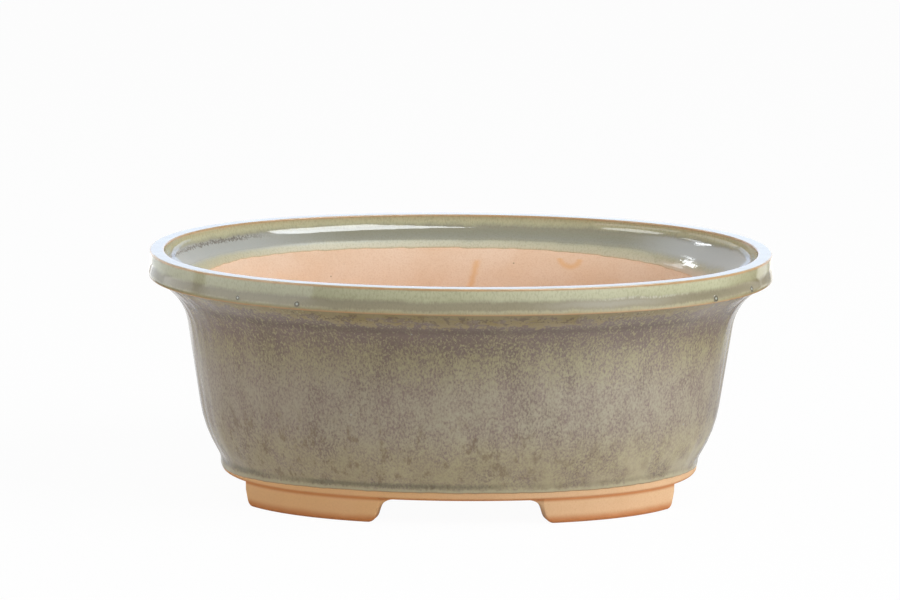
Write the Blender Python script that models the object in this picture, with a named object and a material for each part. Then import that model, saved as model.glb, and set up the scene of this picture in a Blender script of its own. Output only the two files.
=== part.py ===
"""Oval bonsai pot in glazed stoneware, built up the way its potter joins it.

A floor slab carries the flared side wall, a rim band is set on the wall's top
edge, and four feet stand under the slab. Two coats of glaze lie on the clay:
one on the outside of the wall, one over the rim and down into the pot.

Metres, +Z up, +X along the pot's length. The origin is on the ground under the
middle of the pot. Everything round the pot is a profile of insets and heights
that is swept along one oval, the outer edge of the bare clay rim.
"""
import math

import bmesh
import bpy

MM = 0.001

# Overall size of the finished pot, and the oval it is built on
LENGTH = 300 * MM             # along X, over the rim's glazed top edge
WIDTH = 234 * MM              # along Y, over the rim's glazed top edge
HEIGHT = 118.6 * MM
OVAL_FULLNESS = 0.053         # how much fuller than an ellipse the oval is between its axes

# Clay and glaze
WALL = 6.5 * MM               # thickness of the thrown wall
FLOOR = 8.0 * MM              # thickness of the floor slab
GLAZE = 0.6 * MM              # thickness of a glaze coat
GAP = 0.3 * MM                # joint clearance between any two pieces

# Side wall, from the base to the rim band
BASE_INSET = 33.9 * MM        # the base stands this far inside the rim's edge
BASE_BAND = 6.6 * MM          # upright band between the underside and the belly
BELLY_INSET = 25.5 * MM       # where the belly turns into the long taper
BELLY_RISE = 20.9 * MM        # height of that turn over the underside
NECK_INSET = 16.2 * MM        # where the taper turns out into the flare
NECK_DROP = 12.1 * MM         # depth of that turn below the rim band
FLARE_INSET = 2.6 * MM        # where the flare meets the underside of the rim band
COVE_RADIUS = 14.5 * MM
BELLY_RADIUS = 60.0 * MM
NECK_RADIUS = 29.0 * MM

# Rim band, whose outer face has a hollow over a bead
BAND = 12.4 * MM              # height of the band's outer face, with its glaze
RIM_THICKNESS = 4.4 * MM      # thickness of the clay rim at its top
LOW_EDGE_SWELL = 0.6 * MM     # how far the sharp lower edge stands out
BEAD_SWELL = 1.3 * MM         # how far the bead would stand out without its rounding
BEAD_RISE = 2.2 * MM          # height of the bead over the band's lower edge
HOLLOW_DEPTH = 0.25 * MM
HOLLOW_RISE = 6.8 * MM        # height of the hollow over the band's lower edge
BEAD_RADIUS = 3.0 * MM
HOLLOW_RADIUS = 9.0 * MM
RIM_ROUNDING = 0.8 * MM       # rounding of the rim's two top edges
LEDGE_RADIUS = 4.5 * MM       # hollow between the rim's inner face and the ledge inside

# Where the glaze ends
WALL_GLAZE_START = 3.6 * MM   # over the underside, outside
INNER_GLAZE_DEPTH = 15.4 * MM # below the rim's top, inside

# Floor slab, which carries the wall on a rabbet round its edge
SEAT = 3.2 * MM               # height of the rabbet over the underside
SLAB_ROUNDING = 1.4 * MM      # rolled lower edge of the slab
DRAIN_DIAMETER = 26 * MM
DRAIN_SPACING = 104 * MM      # between the centres of the two drainage holes
WIRE_HOLE_DIAMETER = 7 * MM
WIRE_HOLE_SPACING_X = 44 * MM
WIRE_HOLE_SPACING_Y = 64 * MM

# Feet, four arcs that follow the base
FOOT_HEIGHT = 11.6 * MM
FOOT_THICKNESS = 10.5 * MM
FOOT_DRAFT = 0.4 * MM         # how far each long side leans in towards the ground
FRONT_GAP = 66.6 * MM         # between the tips of two feet, along the pot's length
END_GAP = 81.6 * MM           # between the tips of two feet, across the pot's ends
TIP_LAND = 0.8 * MM           # height of a foot's tip against the slab
INNER_FILLET = 6.0 * MM       # hollow that runs a foot's end out into the slab, at the front gap
OUTER_FILLET = 2.4 * MM       # the same, at the end gap
INNER_SLOPE = math.radians(70)  # steepness of that end between its two curves
OUTER_SLOPE = math.radians(80)
TOE_RADIUS = 2.4 * MM         # rounding where a foot's end meets the ground
FOOT_EDGE_RADIUS = 1.8 * MM   # rounding along a foot's lower edges

# Facets
STATIONS = 48                 # round the oval, a multiple of four
FOOT_STATIONS = 7             # along the flat part of a foot
FOOT_EDGE_FACETS = 2
DRAIN_SIDES = 28
WIRE_HOLE_SIDES = 12
SAGITTA = 0.08 * MM           # how far a facet may cut inside a rounded profile

# Colours of the finishes: linear red, green and blue
CLAY = (0.70, 0.43, 0.25)
GLAZE_GREEN = (0.26, 0.235, 0.15)
RIM_GREEN = (0.40, 0.38, 0.25)

# Worked out from the sizes above
COAT = GLAZE + GAP            # from the bare clay to the glaze's surface
HALF_LENGTH = LENGTH / 2 - COAT
HALF_WIDTH = WIDTH / 2 - COAT
UNDERSIDE = FOOT_HEIGHT
SLAB_INSET = BASE_INSET - GLAZE   # the slab and the feet stand flush with the glazed wall
SEAT_Z = UNDERSIDE + SEAT
FLOOR_TOP = UNDERSIDE + FLOOR
BAND_BOTTOM = HEIGHT - BAND
CLAY_TOP = HEIGHT - COAT


def oval_point(turn, inset=0.0):
    """A point on the oval at an angle, moved squarely inwards by an inset."""
    c, s = math.cos(turn), math.sin(turn)
    x = HALF_LENGTH * c * (1 + OVAL_FULLNESS * s * s)
    y = HALF_WIDTH * s * (1 + OVAL_FULLNESS * c * c)
    dx = HALF_LENGTH * s * (OVAL_FULLNESS * (2 * c * c - s * s) - 1)
    dy = HALF_WIDTH * c * (OVAL_FULLNESS * (c * c - 2 * s * s) + 1)
    speed = math.hypot(dx, dy)
    return x - inset * dy / speed, y + inset * dx / speed


def oval_turn_after(turn, distance, inset):
    """The angle reached by walking a distance along the oval at an inset."""
    steps = 12
    reach = 1e-4
    for _ in range(steps):
        x0, y0 = oval_point(turn, inset)
        x1, y1 = oval_point(turn + reach, inset)
        turn += distance / steps * reach / math.hypot(x1 - x0, y1 - y0)
    return turn


def oval_distance(first, last, inset):
    """The distance along the oval at an inset, between two angles."""
    count = 60
    turns = [first + (last - first) * i / count for i in range(count + 1)]
    points = [oval_point(turn, inset) for turn in turns]
    return sum(math.dist(a, b) for a, b in zip(points, points[1:]))


def turn_where(axis, value, inset):
    """The angle in the first quarter where the inset oval has this x (axis 0) or y (axis 1)."""
    low, high = 0.0, math.pi / 2
    rising = axis == 1
    for _ in range(40):
        middle = (low + high) / 2
        if (oval_point(middle, inset)[axis] < value) == rising:
            low = middle
        else:
            high = middle
    return low


def rounded(corners, radii, arc_facets=None):
    """A line through corners, with an arc of the given radius at each inner one.

    Each arc gets as many facets as its size needs, or arc_facets where that is given.
    """
    legs = [math.dist(a, b) for a, b in zip(corners, corners[1:])]
    headings = [math.atan2(b[1] - a[1], b[0] - a[0]) for a, b in zip(corners, corners[1:])]
    turns = [math.remainder(b - a, math.tau) for a, b in zip(headings, headings[1:])]
    tangents = [0.0] + [r * math.tan(abs(t) / 2) for r, t in zip(radii, turns)] + [0.0]
    for i, leg in enumerate(legs):
        share = tangents[i] + tangents[i + 1]
        if share > 0.98 * leg:
            tangents[i] *= 0.98 * leg / share
            tangents[i + 1] *= 0.98 * leg / share
    line = [corners[0]]
    for corner, heading, turn, tangent in zip(corners[1:], headings, turns, tangents[1:]):
        radius = tangent / math.tan(abs(turn) / 2)
        widest = 2 * math.acos(max(0.0, 1 - SAGITTA / radius))
        facets = arc_facets or max(1, math.ceil(abs(turn) / widest))
        x = corner[0] - tangent * math.cos(heading)
        z = corner[1] - tangent * math.sin(heading)
        line.append((x, z))
        chord = 2 * radius * math.sin(abs(turn) / facets / 2)
        for i in range(facets):
            along = heading + turn * (i + 0.5) / facets
            x += chord * math.cos(along)
            z += chord * math.sin(along)
            line.append((x, z))
    line.append(corners[-1])
    return line


def offset(line, distance):
    """The line moved to its left, which is away from the clay, by a distance."""
    headings = [math.atan2(b[1] - a[1], b[0] - a[0]) for a, b in zip(line, line[1:])]
    headings = [headings[0]] + headings + [headings[-1]]
    moved = []
    for (x, z), before, after in zip(line, headings, headings[1:]):
        half = math.remainder(after - before, math.tau) / 2
        reach = distance / math.cos(half)
        moved.append((x - reach * math.sin(before + half), z + reach * math.cos(before + half)))
    return moved


def between(line, low, high):
    """The stretch of a rising or falling line between two heights, with its ends cut level."""
    kept = []
    for (x0, z0), (x1, z1) in zip(line, line[1:]):
        crossings = [z for z in (low, high) if min(z0, z1) < z < max(z0, z1)]
        if low <= z0 <= high:
            kept.append((x0, z0))
        for z in sorted(crossings, reverse=z1 < z0):
            kept.append((x0 + (x1 - x0) * (z - z0) / (z1 - z0), z))
    if low <= line[-1][1] <= high:
        kept.append(line[-1])
    return kept


def wall_corners():
    """The corners of the wall's outer side, as insets and heights, from the underside up."""
    return [
        (BASE_INSET, UNDERSIDE),
        (BASE_INSET, UNDERSIDE + BASE_BAND),
        (BELLY_INSET, UNDERSIDE + BELLY_RISE),
        (NECK_INSET, BAND_BOTTOM - NECK_DROP),
        (FLARE_INSET, BAND_BOTTOM),
    ]


def outer_line():
    """The wall's outer side, from the underside up to the rim band."""
    return rounded(wall_corners(), [COVE_RADIUS, BELLY_RADIUS, NECK_RADIUS])


def rim_line():
    """Round the rim band from its lower edge, over the top, and down the wall's inner side."""
    inner = offset(wall_corners(), -WALL)
    (neck_x, neck_z), (flare_x, flare_z) = inner[3], inner[4]
    slope = (flare_z - neck_z) / (flare_x - neck_x)
    ledge = (RIM_THICKNESS, neck_z + slope * (RIM_THICKNESS - neck_x))
    corners = [
        (-LOW_EDGE_SWELL, BAND_BOTTOM),
        (-BEAD_SWELL, BAND_BOTTOM + BEAD_RISE),
        (HOLLOW_DEPTH, BAND_BOTTOM + HOLLOW_RISE),
        (0.0, CLAY_TOP),
        (RIM_THICKNESS, CLAY_TOP),
        ledge,
        inner[3],
        inner[2],
        inner[1],
        inner[0],
    ]
    radii = [BEAD_RADIUS, HOLLOW_RADIUS, RIM_ROUNDING, RIM_ROUNDING, LEDGE_RADIUS,
             NECK_RADIUS + WALL, max(BELLY_RADIUS - WALL, WALL), COVE_RADIUS + WALL]
    return rounded(corners, radii)


def split_at_top(line):
    """A line over the rim as its outer part with the top, and its inner part."""
    top = max(z for _, z in line)
    last = max(i for i, (_, z) in enumerate(line) if z > top - 1e-7)
    return line[:last + 1], line[last:]


def material(name, colour, roughness):
    """A plain finish for one kind of surface."""
    finish = bpy.data.materials.get(name) or bpy.data.materials.new(name)
    finish.use_nodes = True
    finish.diffuse_color = (*colour, 1.0)
    shader = finish.node_tree.nodes["Principled BSDF"]
    shader.inputs["Base Color"].default_value = (*colour, 1.0)
    shader.inputs["Roughness"].default_value = roughness
    shader.inputs["Metallic"].default_value = 0.0
    return finish


def add_object(name, bm, finish):
    """A smooth-shaded object from a closed bmesh, with its faces turned outwards."""
    bmesh.ops.recalc_face_normals(bm, faces=bm.faces)
    mesh = bpy.data.meshes.new(name)
    bm.to_mesh(mesh)
    bm.free()
    mesh.materials.append(finish)
    mesh.shade_smooth()
    mesh.set_sharp_from_angle(angle=math.radians(35))
    piece = bpy.data.objects.new(name, mesh)
    bpy.context.scene.collection.objects.link(piece)
    return piece


def sweep_round(name, outline, finish):
    """A closed outline of insets and heights swept right round the oval."""
    bm = bmesh.new()
    rings = []
    for i in range(STATIONS):
        turn = math.tau * i / STATIONS
        rings.append([bm.verts.new((*oval_point(turn, inset), z)) for inset, z in outline])
    count = len(outline)
    for ring, following in zip(rings, rings[1:] + rings[:1]):
        for j in range(count):
            k = (j + 1) % count
            bm.faces.new((ring[j], ring[k], following[k], following[j]))
    return add_object(name, bm, finish)


def make_side_wall():
    """The wall: an upright base band, a full belly, a long taper and a flared neck."""
    low, high = SEAT_Z + GAP, BAND_BOTTOM - GAP
    outside = between(outer_line(), low, high)
    inside = between(split_at_top(rim_line())[1], low, high)
    return sweep_round("side_wall", outside + inside, material("bare_clay", CLAY, 0.85))


def make_rim_band():
    """The rim band on the flared wall, with its inner face running down into the ledge."""
    over, inner = split_at_top(rim_line())
    inside = between(inner, BAND_BOTTOM, HEIGHT)
    return sweep_round("rim_band", over + inside[1:], material("bare_clay", CLAY, 0.85))


def make_wall_glaze():
    """The coat on the outside, from the bare edge of the slab up to the rim band."""
    low, high = UNDERSIDE + WALL_GLAZE_START, BAND_BOTTOM - 2 * GAP
    skin = between(offset(outer_line(), GAP), low, high)
    surface = between(offset(outer_line(), COAT), low, high)
    return sweep_round("wall_glaze", surface + skin[::-1], material("wall_glaze", GLAZE_GREEN, 0.3))


def make_rim_glaze():
    """The coat over the rim band and down the ledge, to its edge on the bare clay inside."""
    end = HEIGHT - INNER_GLAZE_DEPTH
    start = BAND_BOTTOM
    sides = []
    for distance in (COAT, GAP):
        over, inner = split_at_top(offset(rim_line(), distance))
        rising = [(x, max(z, start)) for x, z in over]
        sides.append(rising + between(inner, end, HEIGHT)[1:])
    surface, skin = sides
    return sweep_round("rim_glaze", surface + skin[::-1], material("rim_glaze", RIM_GREEN, 0.2))


def make_floor_slab():
    """The floor: a rolled outer edge, a rabbet that seats the wall, and the holes."""
    plug_inset = BASE_INSET + WALL + GAP
    edge = rounded([(plug_inset, UNDERSIDE), (SLAB_INSET, UNDERSIDE), (SLAB_INSET, SEAT_Z)],
                   [SLAB_ROUNDING])
    outline = edge[1:] + [(plug_inset, SEAT_Z), (plug_inset, FLOOR_TOP)]
    bm = bmesh.new()
    rings = []
    for inset, z in outline:
        turns = [math.tau * i / STATIONS for i in range(STATIONS)]
        rings.append([bm.verts.new((*oval_point(turn, inset), z)) for turn in turns])
    for ring, following in zip(rings, rings[1:]):
        for i in range(STATIONS):
            j = (i + 1) % STATIONS
            bm.faces.new((ring[i], ring[j], following[j], following[i]))
    bm.faces.new(rings[0])
    bm.faces.new(rings[-1])
    slab = add_object("floor_slab", bm, material("bare_clay", CLAY, 0.85))

    holes = slab.modifiers.new("holes", "BOOLEAN")
    holes.operation = "DIFFERENCE"
    holes.solver = "EXACT"
    holes.object = make_hole_cutter()
    return slab


def make_hole_cutter():
    """Two drainage holes on the long axis, and a wiring hole beyond each quarter of the floor."""
    bm = bmesh.new()
    drains = [(side * DRAIN_SPACING / 2, 0.0, DRAIN_DIAMETER, DRAIN_SIDES) for side in (-1, 1)]
    wires = [(side * WIRE_HOLE_SPACING_X / 2, end * WIRE_HOLE_SPACING_Y / 2, WIRE_HOLE_DIAMETER, WIRE_HOLE_SIDES)
             for side in (-1, 1) for end in (-1, 1)]
    for x, y, diameter, sides in drains + wires:
        made = bmesh.ops.create_cone(bm, cap_ends=True, segments=sides, depth=3 * FLOOR,
                                     radius1=diameter / 2, radius2=diameter / 2)
        bmesh.ops.translate(bm, verts=made["verts"], vec=(x, y, UNDERSIDE + FLOOR / 2))
    cutter = add_object("hole_cutter", bm, material("bare_clay", CLAY, 0.85))
    cutter.hide_render = True
    cutter.display_type = "WIRE"
    return cutter


def foot_end(fillet, slope):
    """The lower edge of a foot's end: distances from its tip, and heights, down to the ground."""
    tip = UNDERSIDE - GAP - TIP_LAND
    hollow = fillet * math.tan(slope / 2)
    foot = hollow + tip / math.tan(slope)
    corners = [(0.0, tip), (hollow, tip), (foot, 0.0), (foot + 2 * TOE_RADIUS, 0.0)]
    return rounded(corners, [fillet, TOE_RADIUS])[:-1]


def foot_side(length):
    """A foot's whole lower edge, from its tip at the end gap to its tip at the front gap."""
    outer = foot_end(OUTER_FILLET, OUTER_SLOPE)
    inner = [(length - s, z) for s, z in foot_end(INNER_FILLET, INNER_SLOPE)]
    start, stop = outer[-1][0], inner[-1][0]
    flat = [(start + (stop - start) * i / FOOT_STATIONS, 0.0) for i in range(1, FOOT_STATIONS)]
    return outer + flat + inner[::-1]


def foot_section(bottom):
    """Across a foot, from its outer top edge down, under and up to its inner top edge."""
    top = UNDERSIDE - GAP
    lean = FOOT_DRAFT * (top - bottom) / top
    inner = SLAB_INSET + FOOT_THICKNESS
    corners = [(SLAB_INSET, top), (SLAB_INSET + lean, bottom), (inner - lean, bottom), (inner, top)]
    radius = min(FOOT_EDGE_RADIUS, (top - bottom) * 0.6)
    return rounded(corners, [radius, radius], FOOT_EDGE_FACETS)


def make_foot(name, side, end):
    """One foot in the quarter of the pot that the two signs name."""
    first = turn_where(1, END_GAP / 2, SLAB_INSET)
    last = turn_where(0, FRONT_GAP / 2, SLAB_INSET)
    length = oval_distance(first, last, SLAB_INSET)
    bm = bmesh.new()
    sections = []
    turn, walked = first, 0.0
    for s, bottom in foot_side(length):
        turn = oval_turn_after(turn, s - walked, SLAB_INSET)
        walked = s
        section = []
        for inset, z in foot_section(bottom):
            x, y = oval_point(turn, inset)
            section.append(bm.verts.new((side * x, end * y, z)))
        sections.append(section)
    for section, following in zip(sections, sections[1:]):
        for j in range(len(section)):
            k = (j + 1) % len(section)
            bm.faces.new((section[j], section[k], following[k], following[j]))
    bm.faces.new(sections[0])
    bm.faces.new(sections[-1])
    return add_object(name, bm, material("bare_clay", CLAY, 0.85))


def main():
    for old in list(bpy.data.objects):
        bpy.data.objects.remove(old, do_unlink=True)
    make_floor_slab()
    make_side_wall()
    make_rim_band()
    make_wall_glaze()
    make_rim_glaze()
    for end_name, end in (("front", -1), ("back", 1)):
        for side_name, side in (("left", -1), ("right", 1)):
            make_foot(f"foot_{end_name}_{side_name}", side, end)


main()
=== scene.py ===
# %% [markdown]
# An oval bonsai pot in glazed stoneware. The clay body is bare inside and on the feet. One coat of
# purple-brown glaze with olive flecks covers the wall, and a paler green coat covers the rim and runs
# a little way down inside.
#
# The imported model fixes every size. Here each piece is made again with finer curves, real glaze edges
# and finishes worked out with nodes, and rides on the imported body.

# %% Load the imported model
import math

import bmesh
import bpy
import numpy as np
from mathutils import Matrix, Vector, geometry


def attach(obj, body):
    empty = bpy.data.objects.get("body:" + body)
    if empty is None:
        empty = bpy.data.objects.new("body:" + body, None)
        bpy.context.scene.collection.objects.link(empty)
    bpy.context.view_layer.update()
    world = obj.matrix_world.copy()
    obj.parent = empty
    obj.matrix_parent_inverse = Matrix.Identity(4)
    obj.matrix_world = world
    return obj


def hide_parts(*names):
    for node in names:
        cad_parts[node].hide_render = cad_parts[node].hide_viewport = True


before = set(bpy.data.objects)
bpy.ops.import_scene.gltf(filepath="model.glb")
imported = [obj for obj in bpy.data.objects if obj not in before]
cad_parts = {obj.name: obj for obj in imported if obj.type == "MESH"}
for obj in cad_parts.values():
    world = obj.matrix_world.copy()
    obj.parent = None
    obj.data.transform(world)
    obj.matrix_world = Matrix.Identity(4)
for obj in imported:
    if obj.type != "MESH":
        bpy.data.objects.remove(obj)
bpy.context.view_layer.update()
MM = 0.001


def in_scene(name, data):
    """A new object of the scene, made of a mesh, a light or a camera."""
    made = bpy.data.objects.new(name, data)
    bpy.context.scene.collection.objects.link(made)
    return made


# %% [markdown]
# The camera stands two metres away and a little above the rim, with a long lens, so the oval is
# seen flat and hardly tapers. Its place, tilt and focal length were fitted to the outlines of the
# rim, the base and the feet.

# %% Camera
FOCAL_PIXELS = 4325.5
IMAGE_WIDTH = 900
SENSOR_WIDTH = 36.0
DISTANCE = 2.0683
EYE_HEIGHT = 0.44907
EYE_RIGHT = -0.005149
PITCH, ROLL, YAW = 0.1703, 0.0085, 0.0111

lens = bpy.data.cameras.new("camera")
lens.sensor_width = SENSOR_WIDTH
lens.lens = FOCAL_PIXELS / IMAGE_WIDTH * SENSOR_WIDTH
lens.clip_start, lens.clip_end = 0.1, 30.0
camera = in_scene("camera", lens)
camera.matrix_world = (
    Matrix.Rotation(-YAW, 4, "Z")
    @ Matrix.Translation((EYE_RIGHT, -DISTANCE, EYE_HEIGHT))
    @ Matrix.Rotation(math.pi / 2 - PITCH, 4, "X")
    @ Matrix.Rotation(ROLL, 4, "Z")
)
bpy.context.scene.camera = camera
print("lens", round(lens.lens, 1), "mm")

# %% [markdown]
# Nodes are wired by hand all through this file, so one helper does it: it makes a node, sets it up,
# and fills its inputs, each with a value or with the output of another node. The same helper serves
# materials and Geometry Nodes.
#
# Most nodes here only do sums. A Wire stands for the output of a node, and adding or multiplying wires
# makes the Math nodes, so that a sum reads as it would on paper.

# %% A helper for wiring nodes
class Wire:
    """The output of a node. Sums of wires, or of wires and numbers, make the Math nodes for them."""

    def __init__(self, node, output=0):
        self.socket, self.tree = node.outputs[output], node.id_data

    def maths(self, operation, *others):
        """The output of a Math node on this wire and others."""
        return Wire(add(self.tree, "ShaderNodeMath", dict(enumerate((self, *others))), operation=operation))

    def __add__(self, other):
        return self.maths("ADD", other)

    def __sub__(self, other):
        return self.maths("SUBTRACT", other)

    def __mul__(self, other):
        return self.maths("MULTIPLY", other)

    def __truediv__(self, other):
        return self.maths("DIVIDE", other)

    def __abs__(self):
        return self.maths("ABSOLUTE")


def fill(node, inputs):
    """Fills inputs of a node, found by name or by number, each with a value or with a wire."""
    for key, value in inputs.items():
        if isinstance(value, Wire):
            value.tree.links.new(value.socket, node.inputs[key])
        else:
            node.inputs[key].default_value = value


def add(tree, kind, inputs=None, **settings):
    """A new node with its settings made and its inputs filled."""
    made = tree.nodes.new(kind)
    for key, value in settings.items():
        setattr(made, key, value)
    fill(made, inputs or {})
    return made


trial = bpy.data.node_groups.new("trial", "ShaderNodeTree")
two_steps = Wire(add(trial, "ShaderNodeValue")) * 2.0 + 1.0
print("nodes for a value times two plus one:", [node.name for node in two_steps.tree.nodes])

# %% [markdown]
# Patterns need two more things all the time: where a point lies, and a mask that fades in or out between
# two values. Object coordinates give the first, and a Map Range node with a smooth step gives the second.

# %% Places and soft masks
def parts_of(vector):
    """The X, Y and Z of a vector, as three wires."""
    node = add(vector.tree, "ShaderNodeSeparateXYZ", {0: vector})
    return [Wire(node, axis) for axis in range(3)]


def object_place(tree):
    """A point's place on its object, as one wire for a vector."""
    return Wire(add(tree, "ShaderNodeTexCoord"), "Object")


def ease(value, low, high):
    """0 at low, 1 at high, and a smooth step between. Low may be the greater of the two."""
    inputs = {"Value": value, "From Min": low, "From Max": high}
    return Wire(add(value.tree, "ShaderNodeMapRange", inputs, interpolation_type="SMOOTHSTEP"))


def near(value, middle, reach):
    """1 where a value is at the middle, fading to 0 a reach away on both sides."""
    return ease(abs(value - middle), reach, 0.0)


soft_band = near(parts_of(object_place(trial))[2], 0.05, 0.01)
print("a soft band at one height ends in the node", soft_band.socket.node.name)
bpy.data.node_groups.remove(trial)

# %% [markdown]
# The stage is a white floor and white surroundings. The main light comes from the right, so the left
# end of the pot and the left foot lie a little in shade.
#
# The camera sees floor and surroundings as white, as on a light table, through Light Path: rays
# from the camera and mirrored rays meet white, and diffuse light stays at a plain level.
#
# In the mirror of the glaze the table isn't even. It is brighter on the right in front, where a window
# is, and dimmer close to the pot. Its far corners are dark, apart from one bright patch on the right: the
# two ends of the rim's band mirror just that part of the table.

# %% Floor and surroundings
def background_ray(tree):
    """1 for rays that come from the camera, a mirror or a clear body, and 0 for diffuse light."""
    path = add(tree, "ShaderNodeLightPath")
    rays = Wire(path, "Is Camera Ray") + Wire(path, "Is Glossy Ray") + Wire(path, "Is Transmission Ray")
    return rays.maths("MINIMUM", 1.0)


FLOOR_SIZE = 14.0
FLOOR_GLOW = 0.96
WHITE = (1, 1, 1, 1)

half = FLOOR_SIZE / 2
corners = [(-half, -half, 0), (half, -half, 0), (half, half, 0), (-half, half, 0)]
floor_mesh = bpy.data.meshes.new("floor")
floor_mesh.from_pydata(corners, [], [(0, 1, 2, 3)])
floor = in_scene("floor", floor_mesh)

white = bpy.data.materials.new("white_table")
white.use_nodes = True
tree = white.node_tree
matt = tree.nodes["Principled BSDF"]
fill(matt, {"Base Color": (0.88, 0.88, 0.88, 1), "Roughness": 0.9, "Specular IOR Level": 0.0})

x, y, _ = parts_of(object_place(tree))
window = ease(x, -0.06, 0.26) * ease(y, 0.02, -0.20) * ease(x, 0.62, 0.36)
back_right = ease(x, 0.05, 0.30) * ease(y, -0.05, 0.15)
mirrored = window * 1.7 + ease(y, 0.45, 0.10) * (back_right * -0.35 - 0.30)
aslant = abs(x) - y
patch = ease(x, 0.40, 0.42) * ease(aslant, -0.12, -0.09) * ease(aslant, 0.21, 0.19)
beyond = ease(x, 0.30, 0.36) * ease(aslant, -0.09, -0.12)
corner = ease(abs(x), 0.33, 0.35) * ease(aslant, 0.60, 0.44) * (beyond * -0.55 + 1.0)
corner = (corner - patch).maths("MAXIMUM", 0.0)
mirrored = mirrored + patch * 0.3
mirrored = mirrored - corner * (mirrored + 0.90)
mirrored = mirrored * Wire(add(tree, "ShaderNodeLightPath"), "Is Glossy Ray")

glow = Wire(add(tree, "ShaderNodeEmission", {"Color": WHITE, "Strength": mirrored + 1.0}))
table = add(tree, "ShaderNodeMixShader", {0: background_ray(tree) * FLOOR_GLOW, 1: Wire(matt), 2: glow})
fill(tree.nodes["Material Output"], {"Surface": Wire(table)})
floor_mesh.materials.append(white)

ROOM_LIGHT = 0.36
world = bpy.data.worlds.new("studio")
bpy.context.scene.world = world
world.use_nodes = True
strength = background_ray(world.node_tree) * (1.0 - ROOM_LIGHT) + ROOM_LIGHT
fill(world.node_tree.nodes["Background"], {"Color": WHITE, "Strength": strength})
print("floor", FLOOR_SIZE, "m across, room light", ROOM_LIGHT)

# %% [markdown]
# A glossy pot is lit twice over. Two soft panels give it its light and shade, and the glaze doesn't show
# them. Cards do the opposite: they light nothing and show only as reflections, so a streak can be made
# brighter, or moved, and the colours stay at their plain level.

# %% Two soft panels
def panel(name, place, aim, width, height, radiance, shape="RECTANGLE"):
    """A soft light at a place, turned to face a point, unseen by the camera itself."""
    light = bpy.data.lights.new(name, "AREA")
    light.shape = shape
    area = width * height * (math.pi / 4 if shape == "ELLIPSE" else 1.0)
    light.size, light.size_y, light.energy = width, height, radiance * math.pi * area
    lamp = in_scene(name, light)
    facing = (Vector(place) - Vector(aim)).to_track_quat("Z", "Y")
    lamp.matrix_world = Matrix.Translation(place) @ facing.to_matrix().to_4x4()
    lamp.visible_camera = False
    return lamp


POT_MIDDLE = Vector((0.0, 0.0, 0.07))


def around(azimuth, elevation, distance):
    """A place seen from the pot: degrees to the right of the camera, degrees up, and metres."""
    a, e = math.radians(azimuth), math.radians(elevation)
    flat = math.cos(e)
    return POT_MIDDLE + distance * Vector((math.sin(a) * flat, -math.cos(a) * flat, math.sin(e)))


panels = [panel("panel_right", around(64, 40, 1.7), POT_MIDDLE, 1.1, 1.0, 6.8),
          panel("panel_left", around(-80, 24, 1.6), POT_MIDDLE, 1.0, 0.9, 2.3)]
panels[0].data.color = (0.93, 0.96, 1.0)
for lamp in panels:
    lamp.visible_glossy = False
print("the soft panels give", [round(lamp.data.energy, 1) for lamp in panels], "watts")

# %% [markdown]
# Where a card must stand follows from the law of reflection. The streaks on the ledge at the back come
# from cards high up in front, and its small bright streak at the right end from a card of its own.
#
# The rim's flat top and the ends of its band are seen so flat that they mirror whatever stands behind the
# pot. So there are two cards behind it: a high one in pale blue for the flat top, and a low one in
# warm white for the ends of the band. Two cards on the left lay a faint veil on the band there.

# %% Cards that show only in the glaze
cards = [panel("card_right", around(50, 59, 1.42), POT_MIDDLE, 1.00, 0.88, 13.0),
         panel("card_left", around(-61, 34, 1.4), POT_MIDDLE, 0.66, 0.50, 6.5, "ELLIPSE"),
         panel("card_side", around(-124.5, 38.5, 1.42), POT_MIDDLE, 0.21, 0.26, 16.0, "ELLIPSE"),
         panel("card_streak", around(-134, 44, 1.45), POT_MIDDLE, 0.12, 0.13, 9.0, "ELLIPSE"),
         panel("card_side_dim", around(-107, 37, 1.40), POT_MIDDLE, 0.42, 0.18, 4.5, "ELLIPSE"),
         panel("card_window", around(-80, 24, 1.6), POT_MIDDLE, 1.1, 0.9, 1.9, "ELLIPSE"),
         panel("card_veil", (-0.44, -0.235, 0.125), (0.0, 0.0, 0.125), 0.44, 0.25, 1.9),
         panel("card_veil_back", (-0.433, 0.25, 0.125), (0.0, 0.0, 0.125), 0.50, 0.25, 1.2),
         panel("card_low", (0.0, 0.60, 0.055), (0.0, 0.0, 0.055), 0.80, 0.11, 0.76),
         panel("card_behind", (0.12, 0.60, 0.203), (0.12, 0.0, 0.203), 1.04, 0.118, 1.15)]
for card in cards:
    card.visible_diffuse = False
    card.data.color = (0.90, 0.95, 1.0)
card_low, card_behind = cards[-2:]
card_low.data.color = (1.0, 0.97, 0.94)
card_behind.data.color = (0.43, 0.62, 1.0)

bpy.context.scene.view_settings.view_transform = "Standard"

# %% [markdown]
# Seen from above the pot is an oval a little fuller than an ellipse. The whole pot is one profile
# carried round that oval: a point of the profile is an inset, measured squarely inwards from the rim's
# clay edge, and a height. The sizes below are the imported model's own.

# %% The sizes of the pot
HALF_LENGTH = 149.1 * MM      # of the clay rim
HALF_WIDTH = 116.1 * MM
HEIGHT = 118.6 * MM
FULLNESS = 0.053              # how much fuller than an ellipse the oval is
UNDERSIDE = 11.6 * MM         # height of the slab over the ground
BAND_BOTTOM = 106.2 * MM      # lower edge of the rim band
COAT = 0.9 * MM               # from the clay to the glaze's surface
WALL = 6.5 * MM
CLAY_TOP = HEIGHT - COAT


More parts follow.
